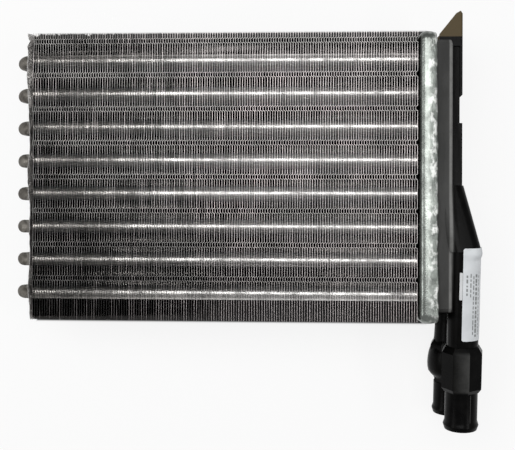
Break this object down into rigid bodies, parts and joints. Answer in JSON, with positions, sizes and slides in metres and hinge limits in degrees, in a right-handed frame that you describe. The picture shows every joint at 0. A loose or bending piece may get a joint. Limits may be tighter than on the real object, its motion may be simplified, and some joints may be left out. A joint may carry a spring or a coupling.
{
  "type": "heater core",
  "caption": "Automotive heater core: hairpin tubes through thin flat fins, a crimped metal header plate, and a moulded plastic end tank with two hose spigots.",
  "frame": {"origin": "middle of the bounding box on the surface that the core lies on, under its back", "axes": "+X along the tubes from the bends to the end tank, +Y up the core across the tube rows, away from the hose spigots, +Z out of the front face, away from the surface"},
  "size_m": [0.2616, 0.2306, 0.062],
  "materials": {
    "tank_plastic": "black glass-filled nylon, satin, slightly worn",
    "gasket_rubber": "matt black rubber",
    "header_aluminium": "pressed sheet, dull, scuffed along the crimped edge",
    "end_fin_aluminium": "thin sheet, bent and slightly crushed",
    "fin_aluminium": "bare thin sheet, satin",
    "tube_aluminium": "drawn tube, dull",
    "label_paper": "matt paper, unprinted",
    "tag_paper": "matt paper, unprinted"
  },
  "bodies": {
    "root": {"end_tank": "tank_plastic", "tank_gasket": "gasket_rubber", "header_plate": "header_aluminium", "end_fin": "end_fin_aluminium", "duct_label": "label_paper", "small_tag": "tag_paper", "hairpin_tube_1": "tube_aluminium", "hairpin_tube_2": "tube_aluminium", "hairpin_tube_3": "tube_aluminium", "hairpin_tube_4": "tube_aluminium", "hairpin_tube_5": "tube_aluminium", "hairpin_tube_6": "tube_aluminium", "hairpin_tube_7": "tube_aluminium", "hairpin_tube_8": "tube_aluminium", "fin_bank_1": "fin_aluminium", "fin_bank_2": "fin_aluminium", "fin_bank_3": "fin_aluminium", "fin_bank_4": "fin_aluminium", "fin_bank_5": "fin_aluminium", "fin_bank_6": "fin_aluminium", "fin_bank_7": "fin_aluminium", "fin_bank_8": "fin_aluminium"}
  },
  "joints": []
}
